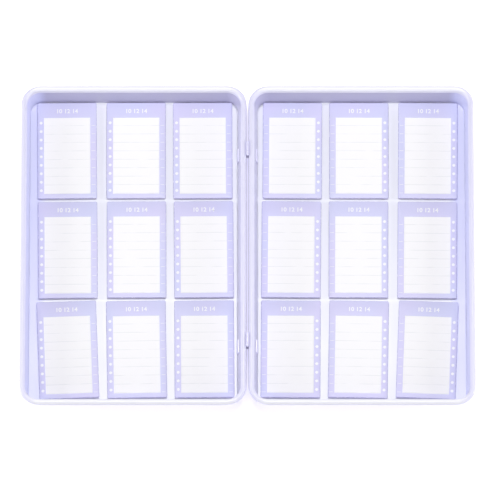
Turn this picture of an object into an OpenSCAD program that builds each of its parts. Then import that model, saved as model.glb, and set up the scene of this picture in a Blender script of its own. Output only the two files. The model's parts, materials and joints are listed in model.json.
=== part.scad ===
// Hinged tinplate case for false eyelash tiles, lying open and flat on its back.
// Origin: middle of the underside, on the hinge line. +X runs over the base tray,
// +Y to the far end of the trays, +Z up. The lid tray lies at -X. All in millimetres.

/* [Trays] */
// Width of floor left bare between the hinge wall and the tiles
hinge_side_gap = 4.2; // [3.5:0.1:14]
// Width of floor left bare between the tiles and the free side
free_side_gap = 8.3; // [4:0.1:24]
// Length of floor left bare between the far end and the tiles
far_end_gap = 0.9; // [0.7:0.05:10]
// Length of floor left bare between the tiles and the near end
near_end_gap = 5.9; // [2.2:0.1:14]
// Height of one tray, from its underside to the top of its rim
tray_h = 25; // [22:0.5:40]
// Thickness of the tinplate
sheet = 0.6; // [0.4:0.05:0.9]
// Outer radius of the four corners, over the rim
corner_r = 19; // [14:0.5:26]
// How far a wall leans outwards between the floor and the rim
wall_lean = 3.2; // [0.6:0.1:3.6]
// Inner radius between floor and wall
floor_r = 1; // [0.6:0.1:2]

/* [Rim] */
// Diameter of the rolled rim
rim_d = 5.6; // [3.4:0.1:6.2]
// How far the roll stands proud of the wall on the inside
roll_in = 0.25; // [0.15:0.05:0.4]
// Angle at which the roll ends, measured round its centre from the free side
roll_end = 255; // [235:1:275]

/* [Hinges] */
// Gap between the two rims along the hinge line
rim_gap = 1.8; // [1.6:0.1:3]
// Gap left between the two rims when the case is shut
shut_gap = 0.4; // [0.2:0.1:0.8]
// Distance from the end of a tray to the middle of the nearest hinge
hinge_inset = 65.5; // [40:0.5:100]
// Length of a hinge along the hinge line
hinge_l = 14; // [13.5:0.5:24]
// Length of each of the base leaf's two knuckles
knuckle_l = 4; // [3:0.5:6]
// Gap between neighbouring knuckles
knuckle_gap = 0.3; // [0.2:0.05:0.6]
// Outer diameter of the knuckles
barrel_d = 2.6; // [2.2:0.1:2.8]
// Diameter of the hinge pin
pin_d = 1.2; // [0.8:0.1:1.4]
// Play between the pin and the lid's knuckle, on the radius
pin_play = 0.06; // [0.02:0.01:0.1]
// Thickness of a peened pin end
pin_head_t = 0.5; // [0.3:0.1:1]
// Diameter of a peened pin end
pin_head_d = 1.9; // [1.5:0.1:2.3]
// Thickness of the leaf steel
leaf_t = 0.6; // [0.4:0.05:0.8]
// Height above the table of the lower edge of a leaf's plate on the outside of the wall
plate_foot = 5; // [4:0.5:6]
// Width of the tongue that passes through the wall
tongue_w = 13; // [8:0.5:13.5]
// Height of the tongue's clinched end inside the tray
clinch_h = 5.4; // [3:0.1:7]
// Height of the tongue above the table
tongue_z = 7.4; // [6:0.1:9]
// Gap round the tongue and behind each plate
leaf_gap = 0.08; // [0.04:0.01:0.2]

/* [Lash tiles] */
// Width of a lash tile
tile_w = 56.5; // [40:0.5:70]
// Length of a lash tile
tile_l = 99; // [80:0.5:120]
// Thickness of a tile's board
tile_t = 2.2; // [1.5:0.1:4]
// Corner radius of a tile
tile_r = 2; // [0.5:0.1:6]
// Gap between neighbouring columns of tiles
column_gap = 8.3; // [6:0.1:20]
// Gap between neighbouring rows of tiles
row_gap = 3.2; // [2.4:0.1:10]
// Depth of the white window pressed into a tile's face
window_t = 0.25; // [0.1:0.05:0.5]
// Border between window and tile edge along both sides
border_side = 6.1; // [3:0.1:10]
// Border at the headed end of a tile
border_head = 15.4; // [10:0.1:20]
// Border at the foot of a tile
border_foot = 4.8; // [2:0.1:10]

/* [Magnet sheets] */
// Thickness of the magnet sheet under a tile
magnet_t = 0.8; // [0.4:0.1:1.5]
// How far a magnet sheet keeps back from the tile's edge
magnet_inset = 2.5; // [0.5:0.1:8]
// Seat gap between a magnet sheet and the lacquered floor
seat_gap = 0.1; // [0.05:0.05:0.3]

/* [Hidden] */
$fn = 48;
rows = 3;
columns = 3;
sides = ["base", "lid"];
ends = ["far", "near"];

// How each tile was laid by hand: [towards the free side, towards the far end, degrees],
// one row of tiles a line from the far end, each from the hinge outwards
laid = [
    [[1, 0, 0.3], [-0.1, 0, 0.2], [1.1, -0.2, 0.6]],
    [[-0.2, 0.2, 0.5], [-0.9, 0, 0.3], [-0.1, -0.5, 0.6]],
    [[-0.9, 0.3, 0.4], [-1.3, 0, 1.1], [-0.8, -0.6, 2.2]],
];

function tile_name(s, r, c) = str("tile_", sides[s], "_r", r + 1, "c", columns - c);
function magnet_name(s, r, c) = str("magnet_", sides[s], "_r", r + 1, "c", columns - c);

lavender = "#dfe1f8";
tile_lavender = "#d2d4f9";
bright_steel = "#d9d9e6";
magnet_black = "#33343a";

// The wall seen in section: u runs outwards from the line of the corner centres
rim_r = rim_d / 2;
rim_u = corner_r - rim_r;
rim_z = tray_h - rim_r;
wall_in_top = corner_r - rim_d + roll_in;
lean_rate = wall_lean / (rim_z - sheet);
function wall_u(z) = wall_in_top - lean_rate * (rim_z - z);

// The middle of the wall's sheet meets the middle of the roll's sheet this far below the
// roll's centre, and the roll is rooted in the wall some degrees further round
root_lap = 8;
mid_r = rim_r - sheet / 2;
mid_off = mid_r - roll_in;
square_sum = 1 + lean_rate * lean_rate;
roll_drop = (sqrt(square_sum * mid_r * mid_r - mid_off * mid_off) - lean_rate * mid_off) / square_sum;
roll_root = 180 + asin(roll_drop / mid_r) + root_lap;

// A tray is as large as its nine tiles, the bare floor round them and its walls
column_pitch = tile_w + column_gap;
row_pitch = tile_l + row_gap;
wall_w = corner_r - wall_u(sheet);
tray_w = columns * column_pitch - column_gap + hinge_side_gap + free_side_gap + 2 * wall_w;
tray_l = rows * row_pitch - row_gap + far_end_gap + near_end_gap + 2 * wall_w;

// Sizes of the hinge side, measured from the hinge line at x = 0
hinge_z = tray_h + shut_gap / 2;
barrel_r = barrel_d / 2;
function wall_x(z) = rim_gap / 2 + corner_r - wall_u(z);
function hinge_y(e) = (1 - 2 * e) * (tray_l / 2 - hinge_inset);
tray_x = rim_gap / 2 + tray_w / 2;
straight_w = tray_w - 2 * corner_r;
straight_l = tray_l - 2 * corner_r;

// Heights and places of the tiles
tile_z = sheet + seat_gap + magnet_t;
first_x = wall_x(sheet) + hinge_side_gap + tile_w / 2;
first_y = tray_l / 2 - wall_w - far_end_gap - tile_l / 2;
function tile_x(r, c) = first_x + c * column_pitch + laid[r][c][0];
function tile_y(r, c) = first_y - r * row_pitch + laid[r][c][1];

// Space under a leaning wall line that starts at foot_u on the height z0, with its foot
// rounded to radius r, up to the height z1
module drafted(foot_u, z0, r, z1) {
    round_u = foot_u + lean_rate * r;
    polygon([
        [0, z0],
        [round_u - r, z0],
        [round_u, z0 + r],
        [foot_u + lean_rate * (z1 - z0), z1],
        [0, z1],
    ]);
    translate([round_u - r, z0 + r]) circle(r);
}

// Rolled rim: the edge of the sheet curled outwards, open where it comes back to the wall
module rim_roll() {
    cut = 2 * rim_r;
    translate([rim_u, rim_z])
        difference() {
            circle(rim_r);
            circle(rim_r - sheet);
            polygon([
                [0, 0],
                cut * [cos(roll_root), sin(roll_root)],
                [-cut, -cut],
                cut * [cos(roll_end), sin(roll_end)],
            ]);
        }
}

module wall_section() {
    difference() {
        drafted(wall_u(0) + sheet, 0, floor_r + sheet, rim_z - roll_drop);
        drafted(wall_u(sheet), sheet, floor_r, rim_z);
    }
    rim_roll();
}

// One tray: the section run along four straight sides and round four corners
module tray_shell() {
    translate([-straight_w / 2, -straight_l / 2, 0]) cube([straight_w, straight_l, sheet]);
    for (q = [0 : 3]) {
        run = q % 2 == 0 ? straight_l : straight_w;
        out = q % 2 == 0 ? straight_w : straight_l;
        rotate(90 * q)
            translate([out / 2, run / 2, 0])
                rotate([90, 0, 0])
                    linear_extrude(run) wall_section();
        rotate(90 * q)
            translate([out / 2, run / 2, 0])
                rotate_extrude(angle = 90) wall_section();
    }
}

// Slots in the hinge wall that the leaves' tongues pass through
module tongue_slots() {
    slot_h = leaf_t + 2 * leaf_gap;
    for (e = [0, 1])
        translate([wall_x(tongue_z) - 3 * sheet, hinge_y(e) - tongue_w / 2 - leaf_gap, tongue_z - leaf_gap])
            cube([5 * sheet, tongue_w + 2 * leaf_gap, slot_h]);
}

module base_tray() {
    color(lavender)
        difference() {
            translate([tray_x, 0, 0]) tray_shell();
            tongue_slots();
        }
}

// The lid is the base tray's mirror image, and the two rims meet when the case is shut
module lid_tray() {
    mirror([1, 0, 0]) base_tray();
}

// A bar of sheet steel that follows the leaning wall between two heights,
// its near face at the distance off from the wall's inner face
module leaning_bar(off, z0, z1) {
    polygon([
        [wall_x(z0) + off, z0],
        [wall_x(z0) + off + leaf_t, z0],
        [wall_x(z1) + off + leaf_t, z1],
        [wall_x(z1) + off, z1],
    ]);
}

shelf_z = rim_z - rim_r - 2 * leaf_t;
shelf_x = leaf_t / 2 + leaf_gap;
plate_off = -sheet - leaf_gap - leaf_t;

// Plate on the outside of the wall, tongue through it and clinched end inside
module leaf_plate() {
    rotate([90, 0, 0]) {
        linear_extrude(hinge_l, center = true) {
            leaning_bar(plate_off, plate_foot, shelf_z);
            translate([shelf_x, shelf_z - leaf_t])
                square([wall_x(shelf_z) + plate_off + leaf_t - shelf_x, leaf_t]);
        }
        linear_extrude(tongue_w, center = true) {
            leaning_bar(leaf_gap, tongue_z + leaf_t - clinch_h, tongue_z + leaf_t);
            translate([wall_x(tongue_z) + plate_off + leaf_t / 2, tongue_z])
                square([sheet + 2 * leaf_gap + leaf_t, leaf_t]);
        }
    }
}

// Knuckle of the given length and bore, rolled from the strap that rises between the rims.
// Beside the knuckles the leaf keeps clear of the other leaf's straps
module knuckle(length, bore_r) {
    rotate([90, 0, 0])
        linear_extrude(length, center = true)
            difference() {
                union() {
                    translate([0, hinge_z]) circle(barrel_r);
                    translate([-leaf_t / 2, shelf_z - leaf_t]) {
                        square([leaf_t, hinge_z - shelf_z + leaf_t]);
                        square([shelf_x + leaf_t, leaf_t]);
                    }
                }
                translate([0, hinge_z]) circle(bore_r);
            }
}

module base_leaf(e) {
    color(bright_steel)
        translate([0, hinge_y(e), 0]) {
            leaf_plate();
            for (side = [-1, 1])
                translate([0, side * (hinge_l - knuckle_l) / 2, 0])
                    knuckle(knuckle_l, pin_d / 2);
        }
}

module lid_leaf(e) {
    color(bright_steel)
        translate([0, hinge_y(e), 0])
            mirror([1, 0, 0]) {
                leaf_plate();
                knuckle(hinge_l - 2 * knuckle_l - 2 * knuckle_gap, pin_d / 2 + pin_play);
            }
}

// Hinge pin with its two peened ends
module hinge_pin(e) {
    color(bright_steel)
        translate([0, hinge_y(e), hinge_z])
            rotate([90, 0, 0]) {
                cylinder(h = hinge_l + 2 * pin_head_t, d = pin_d, center = true);
                for (side = [-1, 1])
                    translate([0, 0, side * (hinge_l + pin_head_t) / 2])
                        cylinder(h = pin_head_t, d = pin_head_d, center = true);
            }
}

// Flat shape with four rounded corners
module rounded_rect(w, l, r) {
    square([w - 2 * r, l], center = true);
    square([w, l - 2 * r], center = true);
    for (x = [-1, 1], y = [-1, 1])
        translate([x * (w / 2 - r), y * (l / 2 - r)]) circle(r);
}

// Puts a tile or its magnet sheet at its place in the base (s = 0) or the lid (s = 1)
module placed(s, r, c) {
    mirror([s, 0, 0])
        translate([tile_x(r, c), tile_y(r, c), 0])
            rotate(-laid[r][c][2])
                children();
}

module lash_tile(s, r, c) {
    window_l = tile_l - border_head - border_foot;
    color(tile_lavender)
        placed(s, r, c)
            translate([0, 0, tile_z])
                difference() {
                    linear_extrude(tile_t) rounded_rect(tile_w, tile_l, tile_r);
                    translate([0, (border_foot - border_head) / 2, tile_t - window_t / 2])
                        cube([tile_w - 2 * border_side, window_l, window_t], center = true);
                }
}

module magnet_sheet(s, r, c) {
    color(magnet_black)
        placed(s, r, c)
            translate([0, 0, sheet + seat_gap])
                linear_extrude(magnet_t)
                    square([tile_w - 2 * magnet_inset, tile_l - 2 * magnet_inset], center = true);
}

base_tray();
lid_tray();
for (e = [0, 1]) {
    base_leaf(e);
    lid_leaf(e);
    hinge_pin(e);
}
for (s = [0, 1], r = [0 : rows - 1], c = [0 : columns - 1]) {
    lash_tile(s, r, c);
    magnet_sheet(s, r, c);
}
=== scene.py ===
import bmesh
import bpy
import json
import math
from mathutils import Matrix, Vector

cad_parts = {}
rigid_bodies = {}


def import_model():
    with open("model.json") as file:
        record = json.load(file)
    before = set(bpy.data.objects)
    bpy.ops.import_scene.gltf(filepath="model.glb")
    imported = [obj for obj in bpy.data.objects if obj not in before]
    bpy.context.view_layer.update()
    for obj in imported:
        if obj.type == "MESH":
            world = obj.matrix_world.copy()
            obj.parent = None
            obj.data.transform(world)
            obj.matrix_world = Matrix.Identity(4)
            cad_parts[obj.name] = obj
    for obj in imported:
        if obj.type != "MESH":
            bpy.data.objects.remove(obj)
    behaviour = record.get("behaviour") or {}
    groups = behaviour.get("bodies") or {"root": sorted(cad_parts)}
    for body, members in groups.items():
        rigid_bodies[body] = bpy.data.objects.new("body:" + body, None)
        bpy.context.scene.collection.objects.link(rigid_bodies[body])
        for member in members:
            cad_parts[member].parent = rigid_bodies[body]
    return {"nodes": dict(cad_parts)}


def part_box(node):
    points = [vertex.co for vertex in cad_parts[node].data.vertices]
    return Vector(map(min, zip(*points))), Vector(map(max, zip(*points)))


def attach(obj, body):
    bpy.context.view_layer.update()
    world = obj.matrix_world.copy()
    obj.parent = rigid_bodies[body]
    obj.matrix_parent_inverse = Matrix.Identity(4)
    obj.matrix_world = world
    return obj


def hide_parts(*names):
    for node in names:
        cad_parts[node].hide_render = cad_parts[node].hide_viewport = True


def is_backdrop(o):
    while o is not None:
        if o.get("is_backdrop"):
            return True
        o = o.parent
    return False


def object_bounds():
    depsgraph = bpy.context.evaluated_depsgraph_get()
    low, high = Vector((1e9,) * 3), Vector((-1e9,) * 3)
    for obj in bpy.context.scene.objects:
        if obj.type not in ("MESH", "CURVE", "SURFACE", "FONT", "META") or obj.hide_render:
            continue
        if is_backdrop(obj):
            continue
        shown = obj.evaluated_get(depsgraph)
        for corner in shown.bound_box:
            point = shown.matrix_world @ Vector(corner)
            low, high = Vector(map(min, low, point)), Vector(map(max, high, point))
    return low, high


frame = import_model()
cadLow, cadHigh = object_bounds()
mm = 0.001
tiny = 0.001 * mm    # what lies closer than this counts as one place
print("frame loaded:", len(frame["nodes"]), "nodes")


# Small helpers used all through

def toLinear(hexColour):
    channels = [int(hexColour[i:i + 2], 16) / 255 for i in (1, 3, 5)]
    linear = [c / 12.92 if c <= 0.04045 else ((c + 0.055) / 1.055) ** 2.4 for c in channels]
    return (*linear, 1.0)


def scaleFor(spacing):
    # The scale of a texture whose pattern repeats about every so many millimetres
    return 1000 / spacing


def addNode(tree, kind, settings=None, links=None):
    node = tree.nodes.new(kind)
    for name, value in (settings or {}).items():
        if isinstance(name, str) and hasattr(node, name):
            setattr(node, name, value)
        else:
            node.inputs[name].default_value = value
    for socket, source in (links or {}).items():
        tree.links.new(source, node.inputs[socket])
    return node


def newMaterial(name, settings):
    material = bpy.data.materials.new(name)
    material.use_nodes = True
    tree = material.node_tree
    shader = tree.nodes["Principled BSDF"]
    for socket, value in settings.items():
        shader.inputs[socket].default_value = value
    return material, tree, shader


def setMaterials(thing, *materials):
    thing.data.materials.clear()
    for material in materials:
        thing.data.materials.append(material)


def deselectAll():
    for thing in bpy.context.view_layer.objects:
        thing.select_set(False)


def makeActive(thing):
    deselectAll()
    thing.select_set(True)
    bpy.context.view_layer.objects.active = thing


def selectWhere(thing, kind, wanted):
    bpy.ops.mesh.select_mode(type=kind)
    bpy.ops.mesh.select_all(action="DESELECT")
    shape = bmesh.from_edit_mesh(thing.data)
    for part in {"EDGE": shape.edges, "FACE": shape.faces}[kind]:
        if wanted(part):
            part.select_set(True)
    bmesh.update_edit_mesh(thing.data)


def middleOf(part):
    return sum((corner.co for corner in part.verts), Vector()) / len(part.verts)


# Camera: the sides of the case run almost parallel in the photograph, so a long lens from far away

camera = {
    "elevation": 68,                 # degrees above the table
    "distance": 10.0,                # metres
    "reach": 60,                     # metres, far enough to see the sweep from low views too
    "framePixels": 500,
    "pixelsPerMetre": 1048,          # on the case, square to the view
    "hingePixel": (247.5, 253.3),    # where the middle of the hinge line's foot is seen
    "sensor": 36.0,
}


def buildCamera():
    data = bpy.data.cameras.new("photoCamera")
    thing = bpy.data.objects.new("photoCamera", data)
    bpy.context.scene.collection.objects.link(thing)
    middle = camera["framePixels"] / 2
    tilt = math.radians(camera["elevation"])
    right = (middle - camera["hingePixel"][0]) / camera["pixelsPerMetre"]
    up = (camera["hingePixel"][1] - middle) / camera["pixelsPerMetre"]
    back = Vector((0, -math.cos(tilt), math.sin(tilt)))
    thing.location = Vector((right, up / math.sin(tilt), 0)) + back * camera["distance"]
    thing.rotation_euler = (math.radians(90 - camera["elevation"]), 0, 0)
    data.sensor_width = camera["sensor"]
    frameWidth = camera["framePixels"] / camera["pixelsPerMetre"]
    data.lens = camera["sensor"] * camera["distance"] / frameWidth
    data.clip_end = camera["reach"]
    bpy.context.scene.camera = thing


buildCamera()

# Light: a softbox high over the hinge leaves the far wall in shade,
# and low ones light the side walls and the near rim. Sizes and places are in metres, power in watts

lights = {
    "boxes": {
        "overheadBox": {"size": 0.7, "place": (0.0, 0.2, 1.5), "power": 12.1, "colour": "#fffefc"},
        "frontBox": {"size": 1.0, "place": (0.0, -1.6, 0.52), "power": 4.2, "colour": "#fffefc"},
        "leftBox": {"size": 0.6, "place": (-1.4, 0.0, 0.36), "power": 9, "colour": "#fbfbff"},
        "rightBox": {"size": 0.6, "place": (1.4, 0.0, 0.36), "power": 9, "colour": "#fbfbff"},
    },
    "roomColour": "#f8f7ff",
    "roomStrength": 0.32,
    "backdrop": "#ffffff",    # what the camera sees past the sweep
}


def buildLights():
    for name, values in lights["boxes"].items():
        data = bpy.data.lights.new(name, "AREA")
        data.size = values["size"]
        data.energy = values["power"]
        data.color = toLinear(values["colour"])[:3]
        thing = bpy.data.objects.new(name, data)
        bpy.context.scene.collection.objects.link(thing)
        thing.location = values["place"]
        thing.rotation_euler = (-Vector(values["place"])).to_track_quat("-Z", "Y").to_euler()
        thing.visible_camera = False
    world = bpy.data.worlds.new("room")
    bpy.context.scene.world = world
    world.use_nodes = True
    tree = world.node_tree
    tree.nodes.clear()
    path = addNode(tree, "ShaderNodeLightPath")
    seen = addNode(tree, "ShaderNodeMath", {"operation": "MAXIMUM"},
                   {0: path.outputs["Is Camera Ray"], 1: path.outputs["Is Transmission Ray"]})
    lit = addNode(tree, "ShaderNodeBackground",
                  {"Color": toLinear(lights["roomColour"]), "Strength": lights["roomStrength"]})
    white = addNode(tree, "ShaderNodeBackground", {"Color": toLinear(lights["backdrop"]), "Strength": 1.0})
    mixed = addNode(tree, "ShaderNodeMixShader", {},
                    {0: seen.outputs[0], 1: lit.outputs[0], 2: white.outputs[0]})
    addNode(tree, "ShaderNodeOutputWorld", {}, {0: mixed.outputs[0]})


buildLights()

# Floor: a white paper sweep that keeps the shadow of the case

floor = {
    "size": 60.0,          # metres
    "gap": 0.1,            # mm below the case
    "paper": "#f8f8f9",
    "roughness": 0.9,
    "glow": "#d0cdea",     # added where the camera or a gloss on the case sees the paper
}


def buildFloor():
    # Matt uncoated paper: no gloss at all
    deselectAll()
    bpy.ops.mesh.primitive_plane_add(size=floor["size"], location=(0, 0, cadLow.z - floor["gap"] * mm))
    thing = bpy.context.object
    thing.name = "floor"
    bpy.ops.object.transform_apply(location=True)
    material, tree, shader = newMaterial("whitePaperSweep", {
        "Base Color": toLinear(floor["paper"]),
        "Roughness": floor["roughness"],
        "Specular IOR Level": 0.0,
        "Emission Color": toLinear(floor["glow"]),
    })
    path = addNode(tree, "ShaderNodeLightPath")
    seen = addNode(tree, "ShaderNodeMath", {"operation": "MAXIMUM"},
                   {0: path.outputs["Is Camera Ray"], 1: path.outputs["Is Glossy Ray"]})
    tree.links.new(seen.outputs[0], shader.inputs["Emission Strength"])
    setMaterials(thing, material)
    thing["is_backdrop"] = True


buildFloor()
print("camera, light and floor ready")

# Enamelled trays, with lengths in millimetres as in every dictionary below

enamel = {
    "floor": "#f3f5fe",
    "cloudy": "#eff1fd",
    "outside": "#d4d3ef",         # the underside took the full coat
    "outsideCloudy": "#d0cfec",
    "midSheet": (0.2, 0.4),       # heights inside the sheet where the outside's coat ends
    "wall": "#c4c2dc",            # painted shade: a deeper tone on the walls, darker than the floor's coat, standing in for their shade
    "wallFoot": 1.0,              # height where the upturned wall begins
    "wallFade": 1.0,
    "rim": "#f5f5fd",             # paler on the roll: painted highlight, standing in for light on the rolled edge
    "rimDepth": 5.6,              # height of the roll
    "rimFade": 0.5,
    "sideRimShade": "#e2e1f7",         # deeper along the two long sides of the roll: painted shade
    "sideRimIn": 5,               # as far in from a long side as the roll has its full colour
    "sideRimFade": 11,
    "run": "#d8daf8",             # a darker, bluer band along the free side: painted shade where the outer wall shades the floor
    "runWidth": 17,               # as far in from the free edge as the painted shade is at full strength
    "runFade": 7,
    "cloud": 60,                  # size of the faint cloudiness in the coat
    "cloudLimits": (0.3, 0.7),    # of the noise, between which the gloss changes
    "roughness": (0.3, 0.42),
    "peel": 1.6,                  # spacing of the orange peel, coarser than the real 0.8 so that it shows
    "peelDepth": 0.02,
    "peelStrength": 0.5,
}


def buildEnamel():
    # Stoving enamel sprayed on tinplate: satin to gloss, a fine orange peel in its reflections
    material, tree, shader = newMaterial("lavenderStovingEnamel", {
        "IOR": 1.5,
        "Coat Weight": 0.4,
        "Coat Roughness": 0.15,
    })
    place = addNode(tree, "ShaderNodeTexCoord").outputs["Object"]
    cloud = addNode(tree, "ShaderNodeTexNoise", {"Scale": scaleFor(enamel["cloud"]), "Detail": 2.0},
                    {"Vector": place}).outputs["Fac"]
    inside = addNode(tree, "ShaderNodeMix", {
        "data_type": "RGBA", 6: toLinear(enamel["floor"]), 7: toLinear(enamel["cloudy"])}, {0: cloud})
    outside = addNode(tree, "ShaderNodeMix", {
        "data_type": "RGBA", 6: toLinear(enamel["outside"]), 7: toLinear(enamel["outsideCloudy"])},
        {0: cloud})
    axes = addNode(tree, "ShaderNodeSeparateXYZ", {}, {0: place})
    low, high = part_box("base_tray")
    inSheet = addNode(tree, "ShaderNodeMapRange", {
        "From Min": low.z + enamel["midSheet"][0] * mm,
        "From Max": low.z + enamel["midSheet"][1] * mm}, {"Value": axes.outputs["Z"]})
    coat = addNode(tree, "ShaderNodeMix", {"data_type": "RGBA"},
                   {0: inSheet.outputs["Result"], 6: outside.outputs[2], 7: inside.outputs[2]})

    # The roll's painted light: a painted highlight at the two ends of a tray, fading to painted shade along
    # its long sides
    fromHinge = addNode(tree, "ShaderNodeMath", {"operation": "ABSOLUTE"}, {0: axes.outputs["X"]})
    offMiddle = addNode(tree, "ShaderNodeMath", {"operation": "SUBTRACT", 1: (low.x + high.x) / 2},
                        {0: fromHinge.outputs[0]})
    fromMiddle = addNode(tree, "ShaderNodeMath", {"operation": "ABSOLUTE"}, {0: offMiddle.outputs[0]})
    sideStart = (high.x - low.x) / 2 - (enamel["sideRimIn"] + enamel["sideRimFade"]) * mm
    nearSide = addNode(tree, "ShaderNodeMapRange", {
        "From Min": sideStart, "From Max": sideStart + enamel["sideRimFade"] * mm},
        {"Value": fromMiddle.outputs[0]})
    rimCoat = addNode(tree, "ShaderNodeMix", {
        "data_type": "RGBA", 6: toLinear(enamel["rim"]), 7: toLinear(enamel["sideRimShade"])},
        {0: nearSide.outputs["Result"]})

    # Each zone is laid over the ones before it, and the roll comes last with its own colours: the wall and
    # free-side zones are painted shade, the roll's colours painted highlight and shade
    runStart = high.x - (enamel["runWidth"] + enamel["runFade"]) * mm
    wallStart = low.z + enamel["wallFoot"] * mm
    rimStart = high.z - enamel["rimDepth"] * mm
    for zone, measure, start in (("wall", axes.outputs["Z"], wallStart),
                                 ("run", fromHinge.outputs[0], runStart),
                                 ("rim", axes.outputs["Z"], rimStart)):
        end = start + enamel[zone + "Fade"] * mm
        reached = addNode(tree, "ShaderNodeMapRange", {"From Min": start, "From Max": end},
                          {"Value": measure})
        coat = addNode(tree, "ShaderNodeMix", {"data_type": "RGBA", 7: toLinear(enamel[zone])},
                       {0: reached.outputs["Result"], 6: coat.outputs[2]})
    tree.links.new(rimCoat.outputs[2], coat.inputs[7])
    tree.links.new(coat.outputs[2], shader.inputs["Base Color"])
    smear = addNode(tree, "ShaderNodeMapRange", {
        "From Min": enamel["cloudLimits"][0], "From Max": enamel["cloudLimits"][1],
        "To Min": enamel["roughness"][0], "To Max": enamel["roughness"][1]}, {"Value": cloud})
    tree.links.new(smear.outputs["Result"], shader.inputs["Roughness"])
    peel = addNode(tree, "ShaderNodeTexNoise", {"Scale": scaleFor(enamel["peel"]), "Detail": 1.0},
                   {"Vector": place})
    bump = addNode(tree, "ShaderNodeBump", {
        "Strength": enamel["peelStrength"], "Distance": enamel["peelDepth"] * mm},
        {"Height": peel.outputs["Fac"]})
    tree.links.new(bump.outputs[0], shader.inputs["Normal"])
    return material


enamelCoat = buildEnamel()
for name in ("base_tray", "lid_tray"):
    setMaterials(frame["nodes"][name], enamelCoat)
print("trays enamelled")

# Hinge leaves and pins

hingeSteel = {
    "colour": "#eae9fd",
    "dull": "#dedcf8",
    "rolling": 0.4,              # spacing of the rolling lines across the strip
    "rollingLength": 25,         # and about how long each is
    "roughness": (0.26, 0.4),
}


def buildHingeSteel():
    # Cold rolled steel strip, sprayed together with the trays:
    # the thin coat lets faint rolling lines and a metal gleam through
    material, tree, shader = newMaterial("sprayedStripSteel", {"Metallic": 0.2})
    place = addNode(tree, "ShaderNodeTexCoord").outputs["Object"]
    across = scaleFor(hingeSteel["rolling"])
    along = scaleFor(hingeSteel["rollingLength"])
    drawn = addNode(tree, "ShaderNodeMapping", {"Scale": (across, along, across)}, {"Vector": place})
    lines = addNode(tree, "ShaderNodeTexNoise", {"Scale": 1.0, "Detail": 3.0},
                    {"Vector": drawn.outputs[0]}).outputs["Fac"]
    tone = addNode(tree, "ShaderNodeMix", {
        "data_type": "RGBA", 6: toLinear(hingeSteel["dull"]), 7: toLinear(hingeSteel["colour"])}, {0: lines})
    tree.links.new(tone.outputs[2], shader.inputs["Base Color"])
    rough = addNode(tree, "ShaderNodeMapRange", {
        "To Min": hingeSteel["roughness"][0], "To Max": hingeSteel["roughness"][1]}, {"Value": lines})
    tree.links.new(rough.outputs["Result"], shader.inputs["Roughness"])
    return material


stripSteel = buildHingeSteel()
for name, node in frame["nodes"].items():
    if "leaf" in name or "pin" in name:
        setMaterials(node, stripSteel)
print("hinges sprayed")

# Magnet sheets under the tiles

magnet = {
    "colour": "#2b2c31",
    "worn": "#3a3b42",
    "roughness": 0.8,
    "pebble": 0.7,              # spacing of the pebble
    "pebbleDepth": 0.04,
    "pebbleStrength": 0.5,
}


def buildMagnetRubber():
    # Calendered magnetic rubber: matt and near black, with a fine pebble from the rollers
    material, tree, shader = newMaterial("calenderedMagnetRubber", {
        "Roughness": magnet["roughness"],
        "Specular IOR Level": 0.35,
    })
    place = addNode(tree, "ShaderNodeTexCoord").outputs["Object"]
    pebble = addNode(tree, "ShaderNodeTexNoise", {"Scale": scaleFor(magnet["pebble"])},
                     {"Vector": place}).outputs["Fac"]
    tone = addNode(tree, "ShaderNodeMix", {
        "data_type": "RGBA", 6: toLinear(magnet["colour"]), 7: toLinear(magnet["worn"])}, {0: pebble})
    tree.links.new(tone.outputs[2], shader.inputs["Base Color"])
    bump = addNode(tree, "ShaderNodeBump", {
        "Strength": magnet["pebbleStrength"], "Distance": magnet["pebbleDepth"] * mm}, {"Height": pebble})
    tree.links.new(bump.outputs[0], shader.inputs["Normal"])
    return material


magnetRubber = buildMagnetRubber()
for name, node in frame["nodes"].items():
    if name.startswith("magnet"):
        setMaterials(node, magnetRubber)
print("magnet sheets finished")

# Lash tiles: one board modelled for each tray, then copied onto each tile of the frame.
# Places on its face are measured from the tile's middle, with y towards its head

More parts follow.
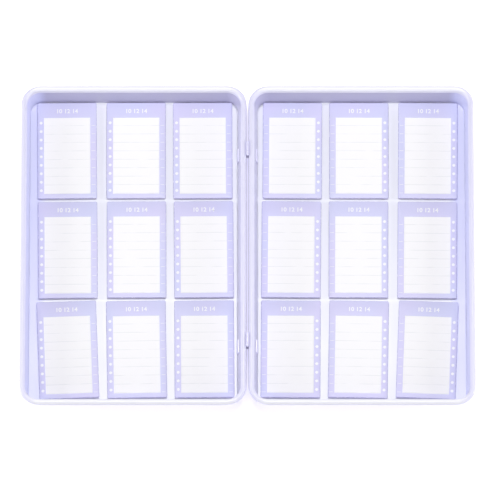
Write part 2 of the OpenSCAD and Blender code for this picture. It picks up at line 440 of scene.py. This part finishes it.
tile = {
    "width": 56.5,
    "length": 99.0,
    "thickness": 2.2,
    "corner": 1.4,
    "cornerSteps": 6,
    "edgeRound": 0.35,
    "edgeSteps": 2,
    "sideBorder": 6.1,
    "headBorder": 15.4,
    "footBorder": 4.8,
    "windowDepth": 0.25,
    "smoothAngle": 35,            # degrees; sharper edges stay sharp
    "pitch": 8.75,                # from dot to dot and from tick to tick
    "count": 9,
    "firstDot": 28.8,             # y of the first dot
    "dotDiameter": 2.9,
    "dotSides": 20,
    "dotInset": 3.3,              # from the tile's outer edge to the middle of a dot
    "tickDrop": 2.8,              # ticks and rules lie this far from the dots, towards the foot
    "tickLength": 3.6,
    "tickWidth": 0.35,
    "tickInset": 3.1,
    "ruleWidth": 0.5,
    "ruleFade": 1.5,              # a rule has faded out at so many times its half width
    "digits": "10 12 14",
    "digitsWidth": 20.0,
    "digitsHeight": 40.7,         # y of their middle
    "digitsFatter": 0.02,         # as printed figures are, in the font's own units
    "digitsSteps": 4,
    "inkDepth": 0.04,             # the ink stands this far proud and is sunk as far into the board
    "lavender": "#d4d6f7",
    "lilac": "#d8d5f7",           # the print drifts to this warmer tone in broad bands
    "bandLength": 55,
    "bandLimits": (0.35, 0.65),   # of the noise, between which the tone changes
    "printGrain": 3,              # size of the laminate's matt patches
    "printRoughness": (0.38, 0.5),
    "white": "#fdfdfe",
    "rule": "#eff0f2",
    "wear": 14,                   # size of the stretches where the rules have worn away
    "wearLimits": (0.34, 0.56),
    "sheetRoughness": (0.5, 0.65),
    "ink": "#fdfdff",
    "inkMottle": "#f2f2fd",
    "inkGrain": 2,                # size of the ink's mottle
    "inkRoughness": (0.35, 0.6),
    "pressed": "#aaa8da",         # painted shade: the print darkened along the rounded upper edge, standing in for the shadow around the tile
    "nick": 2.5,                  # spacing of the nicks in it
    "nickLimits": (0.5, 0.8),
    "pressedRoughness": (0.3, 0.5),
    "core": "#eeebfc",
    "coreLayer": "#dedbf4",
    "coreLayerDepth": 0.3,        # spacing of the layers that the cut edge shows
    "coreLayerLength": 5,         # and about how far each runs
    "coreRoughness": 0.85,
    "coreRelief": 0.02,
    "coreReliefStrength": 0.4,
}


def buildPrintedBoard():
    # Lavender offset print under a satin laminate: even colour that drifts a little, soft sheen
    material, tree, shader = newMaterial("laminatedLavenderPrint", {"IOR": 1.48})
    place = addNode(tree, "ShaderNodeTexCoord").outputs["Object"]
    band = addNode(tree, "ShaderNodeTexNoise", {"Scale": scaleFor(tile["bandLength"]), "Detail": 1.0},
                   {"Vector": place})
    drift = addNode(tree, "ShaderNodeMapRange", {
        "From Min": tile["bandLimits"][0], "From Max": tile["bandLimits"][1]}, {"Value": band.outputs["Fac"]})
    tone = addNode(tree, "ShaderNodeMix", {
        "data_type": "RGBA", 6: toLinear(tile["lavender"]), 7: toLinear(tile["lilac"])},
        {0: drift.outputs["Result"]})
    tree.links.new(tone.outputs[2], shader.inputs["Base Color"])
    matt = addNode(tree, "ShaderNodeTexNoise", {"Scale": scaleFor(tile["printGrain"]), "Detail": 2.0},
                   {"Vector": place})
    rough = addNode(tree, "ShaderNodeMapRange", {
        "To Min": tile["printRoughness"][0], "To Max": tile["printRoughness"][1]},
        {"Value": matt.outputs["Fac"]})
    tree.links.new(rough.outputs["Result"], shader.inputs["Roughness"])
    return material


def buildRuledWindow():
    # White coated sheet with hairline grey rules, worn faint where lashes were peeled off
    material, tree, shader = newMaterial("ruledWhiteSheet", {"IOR": 1.48, "Specular IOR Level": 0.3})

    # The rules follow the tile's own UV map: the fraction is a half on the middle of each rule
    local = addNode(tree, "ShaderNodeUVMap", {"uv_map": "onTile"}).outputs[0]
    high = addNode(tree, "ShaderNodeSeparateXYZ", {}, {0: local}).outputs["Y"]
    firstRule = tile["length"] / 2 + tile["firstDot"] - tile["tickDrop"]
    steps = addNode(tree, "ShaderNodeMath", {
        "operation": "MULTIPLY_ADD", 1: tile["length"] / tile["pitch"], 2: 0.5 - firstRule / tile["pitch"]},
        {0: high})
    within = addNode(tree, "ShaderNodeMath", {"operation": "FRACT"}, {0: steps.outputs[0]})
    off = addNode(tree, "ShaderNodeMath", {"operation": "SUBTRACT", 1: 0.5}, {0: within.outputs[0]})
    away = addNode(tree, "ShaderNodeMath", {"operation": "ABSOLUTE"}, {0: off.outputs[0]})
    half = tile["ruleWidth"] / 2 / tile["pitch"]
    line = addNode(tree, "ShaderNodeMapRange", {
        "From Min": half, "From Max": tile["ruleFade"] * half, "To Min": 1.0, "To Max": 0.0},
        {"Value": away.outputs[0]})

    place = addNode(tree, "ShaderNodeTexCoord").outputs["Object"]
    wear = addNode(tree, "ShaderNodeTexNoise", {"Scale": scaleFor(tile["wear"]), "Detail": 3.0},
                   {"Vector": place}).outputs["Fac"]
    left = addNode(tree, "ShaderNodeMapRange", {
        "From Min": tile["wearLimits"][0], "From Max": tile["wearLimits"][1]}, {"Value": wear})
    shown = addNode(tree, "ShaderNodeMath", {"operation": "MULTIPLY"},
                    {0: line.outputs[0], 1: left.outputs[0]})
    tone = addNode(tree, "ShaderNodeMix", {
        "data_type": "RGBA", 6: toLinear(tile["white"]), 7: toLinear(tile["rule"])}, {0: shown.outputs[0]})
    tree.links.new(tone.outputs[2], shader.inputs["Base Color"])
    rough = addNode(tree, "ShaderNodeMapRange", {
        "To Min": tile["sheetRoughness"][0], "To Max": tile["sheetRoughness"][1]}, {"Value": wear})
    tree.links.new(rough.outputs["Result"], shader.inputs["Roughness"])
    return material


def buildWhiteInk():
    # Screen-printed white ink, thick enough to stand a little proud, slightly uneven in its gloss
    material, tree, shader = newMaterial("screenPrintedWhiteInk", {"IOR": 1.48})
    place = addNode(tree, "ShaderNodeTexCoord").outputs["Object"]
    mottle = addNode(tree, "ShaderNodeTexNoise", {"Scale": scaleFor(tile["inkGrain"])},
                     {"Vector": place}).outputs["Fac"]
    tone = addNode(tree, "ShaderNodeMix", {
        "data_type": "RGBA", 6: toLinear(tile["ink"]), 7: toLinear(tile["inkMottle"])}, {0: mottle})
    tree.links.new(tone.outputs[2], shader.inputs["Base Color"])
    rough = addNode(tree, "ShaderNodeMapRange", {
        "To Min": tile["inkRoughness"][0], "To Max": tile["inkRoughness"][1]}, {"Value": mottle})
    tree.links.new(rough.outputs["Result"], shader.inputs["Roughness"])
    return material


def buildEdgeShade():
    # Painted shade: the print made darker and glossier on the rounded edge, standing in for the tile's edge
    # shadow, broken by tiny nicks
    material, tree, shader = newMaterial("printEdgeShade", {"IOR": 1.48})
    place = addNode(tree, "ShaderNodeTexCoord").outputs["Object"]
    nicks = addNode(tree, "ShaderNodeTexNoise", {"Scale": scaleFor(tile["nick"]), "Detail": 2.0},
                    {"Vector": place}).outputs["Fac"]
    worn = addNode(tree, "ShaderNodeMapRange", {
        "From Min": tile["nickLimits"][0], "From Max": tile["nickLimits"][1]}, {"Value": nicks})
    tone = addNode(tree, "ShaderNodeMix", {
        "data_type": "RGBA", 6: toLinear(tile["pressed"]), 7: toLinear(tile["core"])},
        {0: worn.outputs["Result"]})
    tree.links.new(tone.outputs[2], shader.inputs["Base Color"])
    rough = addNode(tree, "ShaderNodeMapRange", {
        "To Min": tile["pressedRoughness"][0], "To Max": tile["pressedRoughness"][1]}, {"Value": nicks})
    tree.links.new(rough.outputs["Result"], shader.inputs["Roughness"])
    return material


def buildCutEdge():
    # Cut edge of a white-lined greyboard: bare matt fibres pressed in thin layers
    material, tree, shader = newMaterial("cutGreyboardEdge", {
        "Roughness": tile["coreRoughness"],
        "Specular IOR Level": 0.3,
    })
    place = addNode(tree, "ShaderNodeTexCoord").outputs["Object"]
    along = scaleFor(tile["coreLayerLength"])
    flat = addNode(tree, "ShaderNodeMapping", {"Scale": (along, along, scaleFor(tile["coreLayerDepth"]))},
                   {"Vector": place})
    layers = addNode(tree, "ShaderNodeTexNoise", {"Scale": 1.0, "Detail": 3.0},
                     {"Vector": flat.outputs[0]}).outputs["Fac"]
    tone = addNode(tree, "ShaderNodeMix", {
        "data_type": "RGBA", 6: toLinear(tile["core"]), 7: toLinear(tile["coreLayer"])}, {0: layers})
    tree.links.new(tone.outputs[2], shader.inputs["Base Color"])
    bump = addNode(tree, "ShaderNodeBump", {
        "Strength": tile["coreReliefStrength"], "Distance": tile["coreRelief"] * mm}, {"Height": layers})
    tree.links.new(bump.outputs[0], shader.inputs["Normal"])
    return material


materials = {
    "print": buildPrintedBoard(),
    "window": buildRuledWindow(),
    "ink": buildWhiteInk(),
    "core": buildCutEdge(),
    "pressed": buildEdgeShade(),
}
print("tile finishes ready")


def buildBoard():
    halfWidth = tile["width"] / 2 * mm
    halfLength = tile["length"] / 2 * mm
    top = tile["thickness"] * mm
    slots = ("print", "window", "core", "pressed")
    deselectAll()
    bpy.ops.mesh.primitive_cube_add(size=1, location=(0, 0, top / 2),
                                    scale=(2 * halfWidth, 2 * halfLength, top))
    board = bpy.context.object
    bpy.ops.object.transform_apply(location=True, rotation=True, scale=True)
    setMaterials(board, *(materials[slot] for slot in slots))

    # Round its upright corners, then its upper edge
    bpy.ops.object.mode_set(mode="EDIT")
    selectWhere(board, "EDGE", lambda edge: abs(edge.verts[0].co.z - edge.verts[1].co.z) > tiny)
    bpy.ops.mesh.bevel(offset=tile["corner"] * mm, segments=tile["cornerSteps"], affect="EDGES")
    selectWhere(board, "EDGE", lambda edge: all(abs(v.co.z - top) < tiny for v in edge.verts))
    bpy.ops.mesh.bevel(offset=tile["edgeRound"] * mm, segments=tile["edgeSteps"], affect="EDGES")

    # Cut the top face along the four sides of the window and press the window in
    left = -halfWidth + tile["sideBorder"] * mm
    right = halfWidth - tile["sideBorder"] * mm
    foot = -halfLength + tile["footBorder"] * mm
    head = halfLength - tile["headBorder"] * mm
    level = 0.99    # a face whose normal has a larger z lies flat

    def overWindow(face):
        middle = middleOf(face)
        return left - tiny < middle.x < right + tiny and foot - tiny < middle.y < head + tiny

    def assign(slot):
        board.active_material_index = slots.index(slot)
        bpy.ops.object.material_slot_assign()

    for place, square in (((left, 0, 0), (1, 0, 0)), ((right, 0, 0), (1, 0, 0)),
                          ((0, foot, 0), (0, 1, 0)), ((0, head, 0), (0, 1, 0))):
        selectWhere(board, "FACE",
                    lambda face: face.normal.z > level and abs(middleOf(face).z - top) < tiny)
        bpy.ops.mesh.bisect(plane_co=place, plane_no=square)
    selectWhere(board, "FACE", lambda face: face.normal.z > level and overWindow(face))
    bpy.ops.mesh.extrude_region_move(TRANSFORM_OT_translate={"value": (0, 0, -tile["windowDepth"] * mm)})
    assign("window")

    # Below the rounded edge the sides are bare board
    shoulder = top - tile["edgeRound"] * mm
    selectWhere(board, "FACE", lambda face: face.normal.z < level and middleOf(face).z < shoulder)
    assign("core")
    # The rounded upper edge outside the window gets the darker print: painted shade along the tile's edge
    selectWhere(board, "FACE", lambda face: face.normal.z < level and middleOf(face).z > shoulder
                and not overWindow(face))
    assign("pressed")
    bpy.ops.object.mode_set(mode="OBJECT")
    return board


def buildDot(x, y):
    deselectAll()
    foot = tile["thickness"] * mm - tile["inkDepth"] * mm
    bpy.ops.mesh.primitive_circle_add(vertices=tile["dotSides"], radius=tile["dotDiameter"] / 2 * mm,
                                      fill_type="NGON", location=(x * mm, y * mm, foot))
    dot = bpy.context.object
    bpy.ops.object.transform_apply(location=True)
    bpy.ops.object.mode_set(mode="EDIT")
    bpy.ops.mesh.select_all(action="SELECT")
    bpy.ops.mesh.extrude_region_move(TRANSFORM_OT_translate={"value": (0, 0, 2 * tile["inkDepth"] * mm)})
    bpy.ops.mesh.select_all(action="SELECT")
    bpy.ops.mesh.normals_make_consistent(inside=False)
    bpy.ops.object.mode_set(mode="OBJECT")
    return dot


def buildTick(x, y):
    deselectAll()
    size = (tile["tickLength"] * mm, tile["tickWidth"] * mm, 2 * tile["inkDepth"] * mm)
    bpy.ops.mesh.primitive_cube_add(size=1, location=(x * mm, y * mm, tile["thickness"] * mm), scale=size)
    bpy.ops.object.transform_apply(location=True, rotation=True, scale=True)
    return bpy.context.object


def buildDigits():
    deselectAll()
    bpy.ops.object.text_add(location=(0, 0, 0))
    digits = bpy.context.object
    digits.data.body = tile["digits"]
    digits.data.align_x = "CENTER"
    digits.data.align_y = "CENTER"
    digits.data.resolution_u = tile["digitsSteps"]
    digits.data.offset = tile["digitsFatter"]
    digits.data.extrude = 0.5    # one unit thick, so that the scale below is the real thickness
    bpy.ops.object.convert(target="MESH")
    width, height = digits.dimensions.x, digits.dimensions.y
    scale = tile["digitsWidth"] * mm / width
    digits.scale = (scale, scale, 2 * tile["inkDepth"] * mm)
    digits.location = (0, tile["digitsHeight"] * mm, tile["thickness"] * mm)
    bpy.ops.object.transform_apply(location=True, rotation=True, scale=True)
    bpy.ops.object.mode_set(mode="EDIT")
    bpy.ops.mesh.select_all(action="SELECT")
    bpy.ops.mesh.remove_doubles(threshold=tiny)
    bpy.ops.mesh.normals_make_consistent(inside=False)
    bpy.ops.object.mode_set(mode="OBJECT")
    print("digits are", round(tile["digitsWidth"] * height / width, 2), "mm high")
    return digits


def buildTile(side, outer):
    # outer is 1 where the tray's free side is at +X and -1 where it is at -X
    board = buildBoard()
    parts = []
    for step in range(tile["count"]):
        y = tile["firstDot"] - step * tile["pitch"]
        parts.append(buildDot(outer * (tile["width"] / 2 - tile["dotInset"]), y))
        parts.append(buildTick(-outer * (tile["width"] / 2 - tile["tickInset"]), y - tile["tickDrop"]))
    parts.append(buildDigits())
    for part in parts:
        setMaterials(part, materials["ink"])
    makeActive(board)
    for part in parts:
        part.select_set(True)
    bpy.ops.object.join()
    board.name = "tile_master_" + side
    layer = board.data.uv_layers.new(name="onTile")
    for loop in board.data.loops:
        corner = board.data.vertices[loop.vertex_index].co
        layer.data[loop.index].uv = (corner.x / (tile["width"] * mm) + 0.5,
                                     corner.y / (tile["length"] * mm) + 0.5)
    for other in [each for each in board.data.uv_layers if each.name != "onTile"]:
        board.data.uv_layers.remove(other)
    bpy.ops.object.shade_smooth_by_angle(angle=math.radians(tile["smoothAngle"]))
    return board


def turnOf(node):
    # The upright sides of a tile agree on its turn once their directions are taken four times over
    upright = 0.01    # a face whose normal has a smaller z stands upright
    east = north = 0.0
    for face in node.data.polygons:
        if abs(face.normal.z) < upright:
            angle = 4 * math.atan2(face.normal.y, face.normal.x)
            east += face.area * math.cos(angle)
            north += face.area * math.sin(angle)
    return math.atan2(north, east) / 4


for side, outer in (("base", 1), ("lid", -1)):
    master = buildTile(side, outer)
    for name, node in frame["nodes"].items():
        if name.startswith("tile_" + side):
            low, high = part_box(name)
            makeActive(master)
            bpy.ops.object.duplicate()
            copy = bpy.context.object
            copy.location = ((low.x + high.x) / 2, (low.y + high.y) / 2, low.z)
            copy.rotation_euler = (0, 0, turnOf(node))
            bpy.ops.object.transform_apply(location=True, rotation=True, scale=True)
            copy.name = "lash_" + name
            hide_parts(name)
            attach(copy, name)
    bpy.data.objects.remove(master)
print("tiles printed and laid")

bpy.context.scene.view_settings.view_transform = "Standard"
low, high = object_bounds()
